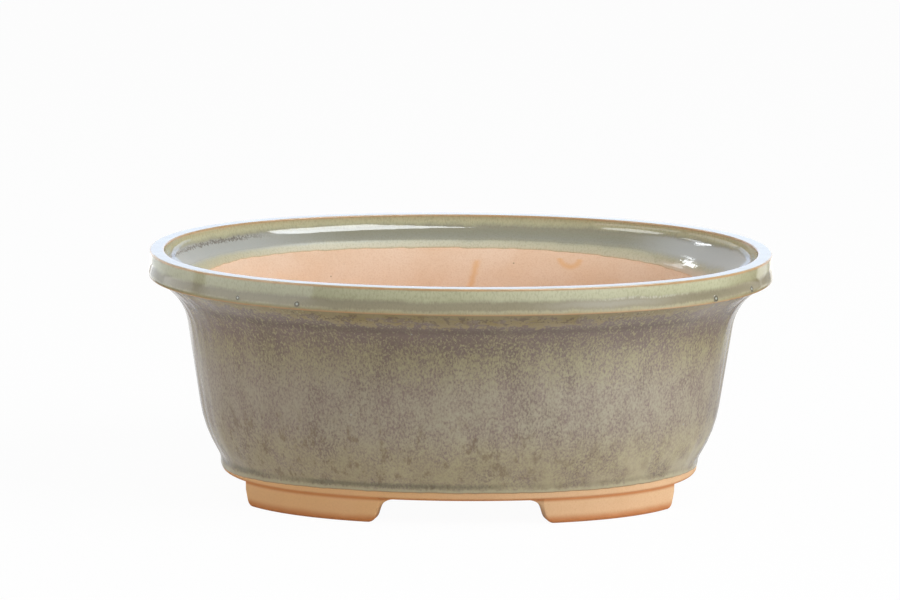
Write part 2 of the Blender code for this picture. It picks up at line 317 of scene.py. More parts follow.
def oval_point(turn, inset):
    """A point on the oval at an angle, moved squarely inwards by an inset."""
    c, s = math.cos(turn), math.sin(turn)
    x = HALF_LENGTH * c * (1 + FULLNESS * s * s)
    y = HALF_WIDTH * s * (1 + FULLNESS * c * c)
    dx = HALF_LENGTH * s * (FULLNESS * (2 * c * c - s * s) - 1)
    dy = HALF_WIDTH * c * (FULLNESS * (c * c - 2 * s * s) + 1)
    speed = math.hypot(dx, dy)
    return x - inset * dy / speed, y + inset * dx / speed


glazed_ends = oval_point(0, -COAT)[0], oval_point(math.pi / 2, -COAT)[1]
print("half sizes over the glazed rim in mm:", [round(v / MM, 1) for v in glazed_ends])

# %% [markdown]
# A profile is drawn as a potter's template is: straight stretches joined by arcs. This helper turns
# corners and radii into a line of points, fine enough that no facet shows.

# %% Lines with rounded corners
ARC_STEP = math.radians(7)
MOST_OF_LEG = 0.98            # the share of a straight stretch that the arcs at its ends may take up


def rounded(corners, radii, step=ARC_STEP, shortest=0.0):
    """A line through corners, with an arc of the given radius at each inner one.

    An arc has a facet for each step that it turns, and fewer where they would be shorter than the shortest.
    """
    legs = [math.dist(a, b) for a, b in zip(corners, corners[1:])]
    headings = [math.atan2(b[1] - a[1], b[0] - a[0]) for a, b in zip(corners, corners[1:])]
    turns = [math.remainder(b - a, math.tau) for a, b in zip(headings, headings[1:])]
    cuts = [0.0] + [r * math.tan(abs(t) / 2) for r, t in zip(radii, turns)] + [0.0]
    for i, leg in enumerate(legs):
        share = cuts[i] + cuts[i + 1]
        if share > MOST_OF_LEG * leg:
            cuts[i] *= MOST_OF_LEG * leg / share
            cuts[i + 1] *= MOST_OF_LEG * leg / share
    line = [corners[0]]
    for corner, heading, turn, cut in zip(corners[1:], headings, turns, cuts[1:]):
        radius = cut / math.tan(abs(turn) / 2)
        facets = max(2, math.ceil(abs(turn) / max(step, shortest / radius)))
        x, z = corner[0] - cut * math.cos(heading), corner[1] - cut * math.sin(heading)
        line.append((x, z))
        chord = 2 * radius * math.sin(abs(turn) / facets / 2)
        for i in range(facets):
            along = heading + turn * (i + 0.5) / facets
            x, z = x + chord * math.cos(along), z + chord * math.sin(along)
            line.append((x, z))
    return line + [corners[-1]]


print("points on a line with one quarter turn:", len(rounded([(0, 0), (2, 0), (2, 2)], [1.0])))

# %% [markdown]
# Three more things are asked of a line. A wall is equally thick everywhere, so its inner side is the outer
# side moved squarely aside. The nodes find a place by how far along the line it lies. And a long straight
# stretch gets points too, so that the faces stay nearly square and shade evenly.

# %% Lines moved aside, measured and made finer
def offset(line, distance):
    """The line moved to its left by a distance."""
    headings = [math.atan2(b[1] - a[1], b[0] - a[0]) for a, b in zip(line, line[1:])]
    headings = [headings[0]] + headings + [headings[-1]]
    moved = []
    for (x, z), before, after in zip(line, headings, headings[1:]):
        bend = math.remainder(after - before, math.tau) / 2
        reach = distance / math.cos(bend)
        moved.append((x - reach * math.sin(before + bend), z + reach * math.cos(before + bend)))
    return moved


def distances(line):
    """How far along the line each of its points lies."""
    steps = [math.dist(a, b) for a, b in zip(line, line[1:])]
    return np.concatenate([[0.0], np.cumsum(steps)])


def refined(line, longest):
    """The same line with extra points, so that no stretch is longer than a length."""
    points = [line[0]]
    for (x0, z0), (x1, z1) in zip(line, line[1:]):
        parts = max(1, math.ceil(math.dist((x0, z0), (x1, z1)) / longest))
        points += [(x0 + (x1 - x0) * i / parts, z0 + (z1 - z0) * i / parts) for i in range(1, parts + 1)]
    return points


print("a line of 10 in stretches of 3 at most has", len(refined([(0, 0), (10, 0)], 3)), "points")

# %% [markdown]
# The wall is drawn as its outer side: base band, belly, taper, neck and flare. The inner side is the same
# line moved in by the wall's thickness, as a potter keeps a wall even. The rim goes on from it: a sharp
# lower edge, a bead, a hollow, a flat top, and the ledge inside.

# %% The profile of the clay
wall_corners = [(33.9 * MM, UNDERSIDE), (33.9 * MM, 18.2 * MM), (25.5 * MM, 32.5 * MM),
                (16.2 * MM, 94.1 * MM), (2.6 * MM, BAND_BOTTOM)]
wall_radii = [14.5 * MM, 60 * MM, 29 * MM]
outer_side = rounded(wall_corners, wall_radii)

inner_corners = offset(wall_corners, -WALL)
(neck_x, neck_z), (flare_x, flare_z) = inner_corners[3], inner_corners[4]
RIM_THICKNESS = 4.4 * MM
ledge_z = neck_z + (flare_z - neck_z) / (flare_x - neck_x) * (RIM_THICKNESS - neck_x)

band_corners = [(-0.6 * MM, BAND_BOTTOM), (-1.3 * MM, BAND_BOTTOM + 2.2 * MM),
                (0.25 * MM, BAND_BOTTOM + 6.8 * MM), (0.0, CLAY_TOP), (RIM_THICKNESS, CLAY_TOP)]
down_inside = [(RIM_THICKNESS, ledge_z)] + inner_corners[3::-1]
down_radii = [4.5 * MM, 29 * MM + WALL, 60 * MM - WALL, 14.5 * MM + WALL]
over_rim = rounded(band_corners + down_inside, [3 * MM, 9 * MM, 0.8 * MM, 0.8 * MM] + down_radii)
print("points on the outer side and over the rim:", len(outer_side), len(over_rim))

# %% [markdown]
# Two shapes of this pot follow a rule: the profile that goes round the oval, and the pinholes that repeat
# on the bead. Geometry Nodes make both, so a few helpers for such trees come first. Every tree ends in
# the same steps, because the export keeps only real faces, and each face needs its material.

# %% Helpers for trees of Geometry Nodes
def geometry_tree(name, inputs):
    """A new Geometry Nodes tree, and the wires from its named inputs."""
    tree = bpy.data.node_groups.new(name, "GeometryNodeTree")
    tree.interface.new_socket("Geometry", in_out="OUTPUT", socket_type="NodeSocketGeometry")
    for label, kind in inputs.items():
        tree.interface.new_socket(label, in_out="INPUT", socket_type="NodeSocket" + kind)
    entry = tree.nodes.new("NodeGroupInput")
    return tree, {label: Wire(entry, label) for label in inputs}


def end_tree(shape, finish):
    """Ends a tree: the shape as real faces, smooth, with its material."""
    tree = shape.tree
    shape = Wire(add(tree, "GeometryNodeRealizeInstances", {0: shape}))
    shape = Wire(add(tree, "GeometryNodeSetShadeSmooth", {0: shape}))
    shape = Wire(add(tree, "GeometryNodeSetMaterial", {"Geometry": shape, "Material": finish}))
    fill(tree.nodes.new("NodeGroupOutput"), {0: shape})


def stored(tree, name, kind="FLOAT"):
    """A named attribute of the geometry."""
    return Wire(add(tree, "GeometryNodeInputNamedAttribute", {"Name": name}, data_type=kind))


def shape_of(given_object):
    """The geometry of an object that is an input of the tree."""
    return Wire(add(given_object.tree, "GeometryNodeObjectInfo", {"Object": given_object}), "Geometry")


trial, trial_inputs = geometry_tree("trial", {"Geometry": "Geometry", "Length": "Float"})
print("inputs of a trial tree:", list(trial_inputs))
bpy.data.node_groups.remove(trial)

# %% [markdown]
# The pot is turned or pressed against a template, so Geometry Nodes make it in the same way. The
# tree takes a guide line, the clay's own profile. Each point of the section says how far
# along the guide it lies, how far it lifts off the clay, and how much it slides along the guide where
# the edge of the glaze wanders. A grid then bends round the oval, one row to a section.
#
# A Curve to Mesh node could sweep a profile as well, but it turns and scales the section at every
# station, and here the section has to stay square to the oval, and its end has to wander.

# %% Geometry Nodes that carry a section round the oval
SECTION_VALUES = ("along", "lift", "slide", "thin")
SAME_PLACE = 0.01 * MM        # points closer than this become one, where the sheet's two ends meet


def template_tree():
    """The tree that carries a section round the oval."""
    tree, given = geometry_tree("carried_round_the_oval", {
        "Geometry": "Geometry", "Guide Line": "Object", "Edge Line": "Object", "Half Length": "Float",
        "Half Width": "Float", "Fullness": "Float", "Stations": "Int", "Finish": "Material"})

    section = given["Geometry"]
    rows = Wire(add(tree, "GeometryNodeAttributeDomainSize", {0: section}, component="MESH"), "Point Count")
    sheet = add(tree, "GeometryNodeMeshGrid", {"Vertices X": given["Stations"] + 1.0, "Vertices Y": rows})
    index = Wire(add(tree, "GeometryNodeInputIndex"))
    station = ((index + 0.5) / rows).maths("FLOOR")
    row = index - station * rows

    def sampled(geometry, value, at):
        inputs = {"Geometry": geometry, "Value": value, "Index": at}
        return Wire(add(tree, "GeometryNodeSampleIndex", inputs, data_type="FLOAT"))

    along, lift, slide, thin = (sampled(section, stored(tree, name), row) for name in SECTION_VALUES)
    height = parts_of(Wire(add(tree, "GeometryNodeInputPosition")))[2]
    wander = sampled(shape_of(given["Edge Line"]), height, station)

    guide = Wire(add(tree, "GeometryNodeMeshToCurve", {"Mesh": shape_of(given["Guide Line"])}))
    inputs = {"Curves": guide, "Length": along + slide * wander}
    found = add(tree, "GeometryNodeSampleCurve", inputs, mode="LENGTH")
    guide_x, _, guide_z = parts_of(Wire(found, "Position"))
    heading_x, _, heading_z = parts_of(Wire(found, "Tangent"))
    inset = guide_x - heading_z * lift
    rise = guide_z + heading_x * lift

    turn = station * math.tau / given["Stations"]
    c, s = turn.maths("COSINE"), turn.maths("SINE")
    a, b, full = given["Half Length"], given["Half Width"], given["Fullness"]
    x = a * c * (full * s * s + 1.0)
    y = b * s * (full * c * c + 1.0)
    dx = a * s * (full * (c * c * 2.0 - s * s) - 1.0)
    dy = b * c * (full * (c * c - s * s * 2.0) + 1.0)
    inward = inset / (dx * dx + dy * dy).maths("SQRT")
    place = Wire(add(tree, "ShaderNodeCombineXYZ", {0: x - inward * dy, 1: y + inward * dx, 2: rise}))

    shape = Wire(sheet, "Mesh")
    for name, value in (("along", along), ("thin", thin)):
        inputs = {"Geometry": shape, "Name": name, "Value": value}
        shape = Wire(add(tree, "GeometryNodeStoreNamedAttribute", inputs, data_type="FLOAT", domain="POINT"))
    shape = Wire(add(tree, "GeometryNodeSetPosition", {"Geometry": shape, "Position": place}))
    shape = Wire(add(tree, "GeometryNodeMergeByDistance", {"Geometry": shape, "Distance": SAME_PLACE}))
    end_tree(shape, given["Finish"])
    return tree


ROUND_THE_OVAL = template_tree()
print("inputs:", [s.name for s in ROUND_THE_OVAL.interface.items_tree if s.in_out == "INPUT"])

# %% [markdown]
# A node tree works on an object through a modifier. Its inputs are set by the socket's identifier, before
# anything is evaluated, and the result is taken over as a plain mesh, because only real faces can ride
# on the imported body.

# %% Running the tree
STATIONS = 384


def line_object(name, points):
    """A chain of points and edges, with no faces."""
    mesh = bpy.data.meshes.new(name)
    mesh.from_pydata(points, [(i, i + 1) for i in range(len(points) - 1)], [])
    return in_scene(name, mesh)


def taken_over(name, source, tree, inputs):
    """The evaluated result of a node tree on an object, as a new plain piece."""
    modifier = source.modifiers.new("shape", "NODES")
    modifier.node_group = tree
    for socket in tree.interface.items_tree:
        if socket.in_out == "INPUT" and socket.name in inputs:
            modifier[socket.identifier] = inputs[socket.name]
    bpy.context.view_layer.update()
    evaluated = source.evaluated_get(bpy.context.evaluated_depsgraph_get())
    mesh = bpy.data.meshes.new_from_object(evaluated)
    mesh.name = name
    bpy.data.objects.remove(source)
    return in_scene(name, mesh)


print("a station every", round(360 / STATIONS, 2), "degrees")

# %% [markdown]
# A sheet whose section runs backwards comes out with its faces turned inwards. A piece holds a
# positive volume only when they point outwards, so its volume tells, and it is turned if need be. Open
# edges are counted too: a closed piece has none.

# %% A piece carried round the oval
def faced_outwards(piece):
    """Turns a closed piece's faces outwards and prints how much it holds."""
    bm = bmesh.new()
    bm.from_mesh(piece.data)
    if bm.calc_volume(signed=True) < 0:
        bmesh.ops.reverse_faces(bm, faces=bm.faces)
    open_edges = sum(1 for e in bm.edges if not e.is_manifold)
    volume = round(bm.calc_volume() * 1e6, 1)
    print(piece.name, len(bm.faces), "faces,", volume, "cm3, open edges", open_edges)
    bm.to_mesh(piece.data)
    bm.free()
    return piece


def carried_round(name, guide, section, wander, finish):
    """A piece from a guide line and section points: (along, lift, slide, thin)."""
    guide_object = line_object(name + "_guide", [(x, 0, z) for x, z in guide])
    edge_object = line_object(name + "_edge", [(0, 0, w) for w in wander])
    points = line_object(name + "_section", [(p[0], 0, p[1]) for p in section])
    for column, label in enumerate(SECTION_VALUES):
        values = points.data.attributes.new(label, "FLOAT", "POINT")
        values.data.foreach_set("value", np.array([p[column] for p in section], np.float32))
    piece = taken_over(name, points, ROUND_THE_OVAL, {
        "Guide Line": guide_object, "Edge Line": edge_object, "Half Length": HALF_LENGTH,
        "Half Width": HALF_WIDTH, "Fullness": FULLNESS, "Stations": STATIONS, "Finish": finish})
    bpy.data.objects.remove(guide_object)
    bpy.data.objects.remove(edge_object)
    return faced_outwards(piece)


STRAIGHT = [0.0] * (STATIONS + 1)
print("an edge that doesn't wander has", len(STRAIGHT), "equal values")

# %% [markdown]
# Finishes come next, because the pieces take them as they are made. For now each one is a name and a
# shader, and its nodes follow further down, once the shapes are there to be looked at.

# %% Empty finishes
def new_finish(name):
    """A material with a plain shader, ready for its nodes."""
    finish = bpy.data.materials.new(name)
    finish.use_nodes = True
    return finish


BARE_CLAY = new_finish("bare_clay")
WALL_GLAZE = new_finish("wall_glaze")
RIM_GLAZE = new_finish("rim_glaze")
PINHOLE = new_finish("pinhole_rings")
print("finishes:", [finish.name for finish in (BARE_CLAY, WALL_GLAZE, RIM_GLAZE, PINHOLE)])

# %% [markdown]
# The clay under the glaze: the wall, and the rim band set on it. Both are closed outlines, so the
# guide is the outline itself and nothing lifts or slides.

# %% Clay wall and clay rim
def cut_between(line, low, high):
    """The stretch of a rising or falling line between two heights, with its ends cut level."""
    kept = []
    for (x0, z0), (x1, z1) in zip(line, line[1:]):
        crossings = [z for z in (low, high) if min(z0, z1) < z < max(z0, z1)]
        if low <= z0 <= high:
            kept.append((x0, z0))
        for z in sorted(crossings, reverse=z1 < z0):
            kept.append((x0 + (x1 - x0) * (z - z0) / (z1 - z0), z))
    if low <= line[-1][1] <= high:
        kept.append(line[-1])
    return kept


def closed_piece(name, outline, finish):
    """A piece from a closed outline of insets and heights."""
    ring = refined(outline + outline[:1], 4 * MM)
    section = [(d, 0.0, 0.0, 0.0) for d in distances(ring)]
    return carried_round(name, ring, section, STRAIGHT, finish)


SEAT_HEIGHT = 14.8 * MM       # where the wall stands on the slab
top_index = max(i for i, (x, z) in enumerate(over_rim) if z > CLAY_TOP - 1e-7)
inner_side = over_rim[top_index:]
wall_outline = cut_between(outer_side, SEAT_HEIGHT, BAND_BOTTOM)
wall_outline += cut_between(inner_side, SEAT_HEIGHT, BAND_BOTTOM)
clay_wall = closed_piece("clay_wall", wall_outline, BARE_CLAY)
rim_outline = over_rim[:top_index + 1] + cut_between(inner_side, BAND_BOTTOM, HEIGHT)[1:]
clay_rim = closed_piece("clay_rim", rim_outline, BARE_CLAY)

# %% [markdown]
# Glaze is a skin under a millimetre thick. It draws back from sharp edges, swells to a soft roll where
# it stops, and that edge is never straight, because the glaze is wiped off by hand before
# firing and runs a little in the kiln. The heights below were read along the front of the pot, and the
# far side goes on in the same manner.

# %% Where the glaze ends
def wandering(knots, ripple, seed):
    """One value for each station, through knots of (degrees, mm), with a fine ripple added."""
    degrees, values = zip(*sorted(knots))
    stations = np.arange(STATIONS + 1) * 360.0 / STATIONS
    all_round = [degrees[-1] - 360, *degrees, degrees[0] + 360]
    edge = np.interp(stations, all_round, [values[-1], *values, values[0]])
    kernel = np.hanning(19)
    kernel /= kernel.sum()
    edge = np.convolve(np.concatenate([edge[-10:-1], edge, edge[1:10]]), kernel, "valid")
    rng = np.random.default_rng(seed)
    for waves in (23, 37, 61, 97, 131):
        height = ripple * rng.uniform(0.3, 1.0)
        edge += height * np.sin(np.radians(stations) * waves + rng.uniform(0, math.tau))
    edge[-1] = edge[0]
    return edge * MM


# Degrees go round from the right-hand end, with the front at 270
outside_edge = [(0, 14.0), (20, 14.9), (48, 15.3), (80, 14.8), (110, 15.4), (140, 14.9), (165, 13.6),
                (178, 12.7), (191, 12.5), (207, 13.3), (222, 14.2), (243, 15.1), (267, 15.3), (291, 15.1),
                (310, 15.4), (325, 15.7), (348, 14.4)]
inside_edge = [(0, 98.4), (12, 97.4), (27, 97.2), (40, 99.6), (53, 101.4), (72, 103.1), (90, 103.3),
               (126, 103.3), (145, 102.7), (157, 101.2), (180, 99.6), (205, 101.0), (235, 102.6),
               (270, 101.8), (300, 102.9), (330, 101.4), (348, 99.5)]


def edge_roll(reach, lift, hidden, swell):
    """Distances from the edge and lifts of a glaze coat's rounded end, from inside the clay outwards."""
    quarter = [math.pi / 2 * i / 6 for i in range(7)]
    line = [(reach * (1 - math.cos(a)), hidden + (lift - hidden) * math.sin(a)) for a in quarter]
    line += [(reach + 0.5 * MM * i, lift) for i in range(1, 13)]
    swells = [swell * math.exp(-((d - 1.6 * MM) / (1.1 * MM)) ** 2) * min(1.0, d / reach) for d, h in line]
    return [(d, h + more) for (d, h), more in zip(line, swells)]


print("outer edge from", min(v for _, v in outside_edge), "to", max(v for _, v in outside_edge), "mm high")

# %% [markdown]
# The wall's coat is a skin on the clay's outer side. Its section has a rounded, slightly swollen end at
# the bottom, runs up at full thickness, and comes back down just inside the clay, where nobody sees it.
# Only the part near the end slides with the wandering edge, so the coat higher up stays even.

# %% Glaze on the wall
UNDER = -0.3 * MM             # the coat's hidden side lies just inside the clay
FADE = 9 * MM                 # stretch over which the coat follows its wandering edge

# The guide goes on a little past the flare, so that the coat's top edge hides in the band above it
flare_end = (2.2 * MM, BAND_BOTTOM + 0.36 * MM)
wall_guide = refined(outer_side + [flare_end], 1.5 * MM)
wall_along = distances(wall_guide)
wall_top = wall_along[-1]
mean_edge = 15.0 * MM
edge_at = float(np.interp(mean_edge, [z for x, z in wall_guide], wall_along))

roll = edge_roll(0.8 * MM, COAT, UNDER, 0.12 * MM)
rest = [d for d in wall_along if d > edge_at + roll[-1][0] + 0.4 * MM]
surface = [(edge_at + d, h, 1 - min(1.0, d / FADE)) for d, h in roll]
surface += [(d, COAT, 1 - min(1.0, (d - edge_at) / FADE)) for d in rest]
back = [(d, UNDER, 1 - min(1.0, (d - edge_at) / FADE)) for d in np.linspace(wall_top, edge_at, 30)]
section = [(d, h, w, 0.0) for d, h, w in surface + back]
outside_wander = wandering(outside_edge, 0.06, 4) - mean_edge
wall_coat = carried_round("wall_coat", wall_guide, section, outside_wander, WALL_GLAZE)

# %% [markdown]
# The rim's coat starts under the band's sharp lower edge, goes up over the bead and the hollow, across
# the flat top, and down the inner face to the ledge, where it ends on bare clay. Its guide line isn't the
# clay but lies just under the glaze's own surface, because a corner that is lifted a long way grows round,
# and the lip is crisp.

# %% The line under the rim's glaze
SKIN = 0.3 * MM               # the guide lies this far under the glaze's surface, so its corners stay crisp
face_inset = RIM_THICKNESS + COAT + 0.3 * MM
ledge = offset([(RIM_THICKNESS, ledge_z), inner_corners[3], inner_corners[2]], COAT)
slope = (ledge[0][1] - ledge[1][1]) / (ledge[0][0] - ledge[1][0])
# The glaze's own surface: lip, bead, hollow, both top corners, the ledge and the wall below it
glaze_corners = [(3.4 * MM, BAND_BOTTOM), (-1.70 * MM, BAND_BOTTOM), (-2.05 * MM, BAND_BOTTOM + 1.8 * MM),
                 (-1.10 * MM, BAND_BOTTOM + 6.2 * MM), (-1.30 * MM, HEIGHT), (face_inset, HEIGHT),
                 (face_inset, ledge[0][1] + slope * (face_inset - ledge[0][0])), ledge[1], ledge[2]]
lip_corners = offset(glaze_corners, -SKIN)
lip_radii = [0.12 * MM, 2.5 * MM, 9 * MM, 0.3 * MM, 0.3 * MM, 9.0 * MM, 29 * MM + WALL]
rim_guide = refined(rounded(lip_corners, lip_radii, math.radians(1.8), 0.03 * MM), 0.7 * MM)
rim_along = distances(rim_guide)
guide_top = HEIGHT - SKIN


def along_at(height, inside):
    """How far along the rim's guide it passes a height, on its inner or its outer side."""
    top = max(i for i, (x, z) in enumerate(rim_guide) if z > guide_top - 1e-7)
    part = slice(top, None) if inside else slice(0, top)
    heights = [z for x, z in rim_guide][part]
    order = np.argsort(heights)
    return float(np.interp(height, np.array(heights)[order], rim_along[part][order]))


def along_corner(corner):
    """How far along the rim's guide it passes a corner."""
    return float(rim_along[min(range(len(rim_guide)), key=lambda i: math.dist(rim_guide[i], corner))])


lip_at = along_corner(lip_corners[1])
outer_corner_at = along_corner(lip_corners[4])
inner_corner_at = along_corner(lip_corners[5])
print("along the rim in mm: lip", round(lip_at / MM, 1), "corners", round(outer_corner_at / MM, 1),
      round(inner_corner_at / MM, 1))

# %% [markdown]
# A glaze is thinnest on corners, and there the tan body shows through: the attribute "thin" marks them for
# the finish. Towards its inner end the coat grows thinner too, and ends in a small round edge that wanders.
#
# The coat's other end is hidden in the joint under the band. Its section is left open there, so the count
# of open edges finds two rings of them, one to each side of that end.

# %% Glaze on the rim
mean_inside = 102.0 * MM
end_at = along_at(mean_inside, inside=True)
inside_wander = np.array([along_at(z, inside=True) for z in wandering(inside_edge, 0.10, 9)]) - end_at


def thinness(d):
    """1 on a sharp corner and less at the very end, falling off within half a millimetre."""
    corners = [(lip_at, 1.0), (outer_corner_at - 0.2 * MM, 1.0), (inner_corner_at + 0.1 * MM, 0.8),
               (end_at, 0.7)]
    return max(strength * math.exp(-((d - at) / (0.42 * MM)) ** 2) for at, strength in corners)


def rim_lift(d):
    """The coat's surface over the guide: full nearly everywhere, thinner towards the inner end."""
    share = min(1.0, max(0.0, (d - end_at + 7 * MM) / (7 * MM)))
    return SKIN - 0.72 * MM * share * share


hidden = -COAT - 0.5 * MM
rounded_end = [(end_at - 0.5 * MM * (1 - math.cos(a)), hidden + (rim_lift(end_at) - hidden) * math.sin(a))
               for a in np.linspace(math.pi / 2, 0, 7)]
surface = [(d, rim_lift(d)) for d in rim_along if d < end_at - 0.8 * MM] + rounded_end
back = [(d, hidden) for d in np.linspace(end_at, 0.0, 60)]
section = [(d, h, max(0.0, 1 - (end_at - d) / FADE), thinness(d)) for d, h in surface + back]
rim_coat = carried_round("rim_coat", rim_guide, section, inside_wander, RIM_GLAZE)
print("the rim's coat ends", round(end_at / MM, 1), "mm along")

# %% [markdown]
# The floor, the feet and the pinholes are built ring by ring: a ring of vertices for each step of a
# profile, and a band of faces between each ring and the next. BMesh is the tool for it. One sweep round
# the oval couldn't do it, because these pieces have holes, or a section that changes on the way.

# %% Helpers for pieces built ring by ring
def circle(sides):
    """Points round a circle of radius 1, starting on the right."""
    return [(math.cos(math.tau * i / sides), math.sin(math.tau * i / sides)) for i in range(sides)]


def ring_of(bm, points):
    """Vertices for a closed ring of points."""
    return [bm.verts.new(p) for p in points]


def piece_from(bm, name):
    """A new piece from a built shape, with all its faces outwards."""
    bmesh.ops.recalc_face_normals(bm, faces=bm.faces)
    mesh = bpy.data.meshes.new(name)
    bm.to_mesh(mesh)
    bm.free()
    return in_scene(name, mesh)


def bridge(bm, ring, following):
    """A band of faces between two rings of the same count."""
    for i in range(len(ring)):
        j = (i + 1) % len(ring)
        bm.faces.new((ring[i], ring[j], following[j], following[i]))


print("four points round a circle:", [(round(u, 3), round(v, 3)) for u, v in circle(4)])

# %% [markdown]
# The floor is a slab with a rolled lower edge, two drainage holes and four small holes for the wires
# that tie a tree down. Its flat faces are filled with a constrained triangulation between the
# slab's edge and the rings of the holes. A Boolean would cut the holes too, but their softened edges
# would then need a bevel on top of it.

# %% Flat faces with holes in them
# Place, radius and sides of each hole
drains = [(side * 52 * MM, 0.0, 13 * MM, 72) for side in (-1, 1)]
wires = [(side * 22 * MM, end * 32 * MM, 3.5 * MM, 36) for side in (-1, 1) for end in (-1, 1)]


def fill_flat(bm, outside, holes):
    """Fills the flat space between an outer ring and the rings of its holes."""
    rings = [outside] + holes
    verts = [v for ring in rings for v in ring]
    edges, start = [], 0
    for ring in rings:
        edges += [(start + i, start + (i + 1) % len(ring)) for i in range(len(ring))]
        start += len(ring)
    result = geometry.delaunay_2d_cdt([v.co.xy for v in verts], edges, [], 1, 1e-7)
    centres = [sum((v.co.xy for v in ring), Vector((0, 0))) / len(ring) for ring in holes]
    reaches = [(ring[0].co.xy - centre).length for ring, centre in zip(holes, centres)]
    for face in result[2]:
        middle = sum((result[0][i] for i in face), Vector((0, 0))) / 3
        if all((middle - centre).length > reach for centre, reach in zip(centres, reaches)):
            bm.faces.new([verts[result[3][i][0]] for i in face])


print(len(drains), "drainage holes and", len(wires), "wire holes")

# %% [markdown]
# The slab's edge is one more rounded line: from under the slab, over its rolled edge, up inside the foot
# of the wall, and down again in a small hollow to the floor. Each hole is a line of its own, softened
# above and below.

# %% Floor slab
SLAB_INSET = 33.3 * MM
FLOOR_TOP = 19.6 * MM
SLAB_ROUNDING = 1.4 * MM
HOLE_EDGE = 0.9 * MM


def make_base():
    """The slab as one closed piece."""
    bm = bmesh.new()
    turns = [math.tau * i / STATIONS for i in range(STATIONS)]
    edge = rounded([(SLAB_INSET + 4 * MM, UNDERSIDE), (SLAB_INSET, UNDERSIDE), (SLAB_INSET, 16.4 * MM),
                    (36.5 * MM, 16.4 * MM), (36.5 * MM, FLOOR_TOP + 3 * MM), (39.6 * MM, FLOOR_TOP + 3 * MM),
                    (40.6 * MM, FLOOR_TOP), (46 * MM, FLOOR_TOP)],
                   [SLAB_ROUNDING, 0.3 * MM, 0.3 * MM, 0.3 * MM, 0.4 * MM, 3.2 * MM])
    rings = [ring_of(bm, [(*oval_point(turn, inset), z) for turn in turns]) for inset, z in edge]
    for ring, following in zip(rings, rings[1:]):
        bridge(bm, ring, following)
    low_holes, high_holes = [], []
    quarter = [math.pi / 2 * i / 5 for i in range(6)]
    for x, y, radius, sides in drains + wires:
        curve = [(radius + HOLE_EDGE * 1.6, 0.0)]
        curve += [(radius + HOLE_EDGE * (1 - math.sin(a)), HOLE_EDGE * (1 - math.cos(a))) for a in quarter]
        wall = [(r, UNDERSIDE + d) for r, d in curve] + [(r, FLOOR_TOP - d) for r, d in curve[::-1]]
        hole = [ring_of(bm, [(x + r * u, y + r * v, z) for u, v in circle(sides)]) for r, z in wall]
        for ring, following in zip(hole, hole[1:]):
            bridge(bm, ring, following)
        low_holes.append(hole[0])
        high_holes.append(hole[-1])
    fill_flat(bm, rings[0], low_holes)
    fill_flat(bm, rings[-1], high_holes)
    base = piece_from(bm, "clay_base")
    base.data.shade_smooth()
    base.data.materials.append(BARE_CLAY)
    return faced_outwards(base)


clay_base = make_base()

# %% [markdown]
# The four feet are strips of clay luted under the slab, cut with an ogee at the front and back gaps and
# nearly square at the ends. A foot follows the oval, so it is drawn section by section along its
# length, each section with its own height, and its ends run out thin against the slab.

# %% The line and the section of a foot
FOOT_THICKNESS = 10.5 * MM
FOOT_DRAFT = 0.4 * MM
FOOT_EDGE = 1.8 * MM
TIP = 0.15 * MM
FRONT_GAP, END_GAP = 63.2 * MM, 77.2 * MM
foot_top = UNDERSIDE + 0.9 * MM


def foot_end(fillet, slope, toe):
    """The lower edge of a foot's end: distances from its tip, and heights, down to the ground."""
    tip = UNDERSIDE - TIP
    hollow = fillet * math.tan(slope / 2)
    foot = hollow + tip / math.tan(slope)
    return rounded([(0.0, tip), (hollow, tip), (foot, 0.0), (foot + 2 * toe, 0.0)], [fillet, toe])[:-1]


def foot_section(bottom):
    """Across a foot: from its outer top edge down, under, and up to its inner top edge.

    Its top is luted into the slab's rolled edge. Where a foot runs out thin, its outer face tucks in
    under that edge.
    """
    lean = FOOT_DRAFT * (foot_top - bottom) / foot_top
    share = min(1.0, max(0.0, (bottom - 6 * MM) / (5.4 * MM)))
    outer = SLAB_INSET + 0.25 * MM + SLAB_ROUNDING * share * share * (3 - 2 * share)
    inner = SLAB_INSET + FOOT_THICKNESS
    radius = min(FOOT_EDGE, (foot_top - bottom) * 0.6)
    return rounded([(outer, foot_top), (outer + lean, bottom), (inner - lean, bottom), (inner, foot_top)],
                   [radius, radius])


def turn_where(axis, value):
    """The angle in the first quarter where the slab's edge has this x (axis 0) or y (axis 1)."""
    low, high = 0.0, math.pi / 2
    for _ in range(40):
        middle = (low + high) / 2
        if (oval_point(middle, SLAB_INSET)[axis] < value) == (axis == 1):
            low = middle
        else:
            high = middle
    return low


first, last = turn_where(1, END_GAP / 2), turn_where(0, FRONT_GAP / 2)
fine_turns = np.linspace(first, last, 400)
fine_walk = distances([oval_point(t, SLAB_INSET) for t in fine_turns])
foot_length = float(fine_walk[-1])
outer_end = foot_end(3.8 * MM, math.radians(73), 2.4 * MM)
inner_end = [(foot_length - d, z) for d, z in foot_end(8.5 * MM, math.radians(72), 4.5 * MM)][::-1]
flat = [(d, 0.0) for d in np.linspace(outer_end[-1][0], inner_end[0][0], 26)[1:-1]]
foot_edge = refined(outer_end + flat + inner_end, 2.5 * MM)
print("a foot is", round(foot_length / MM, 1), "mm along its outer face, in", len(foot_edge), "sections")

# %% [markdown]
# The same foot stands in all four quarters of the oval. It is made anew in each, with the signs of its x
# and y turned, because mirroring a finished mesh would turn its faces inwards. Its long sides shade
# smoothly, and its corners stay sharp.

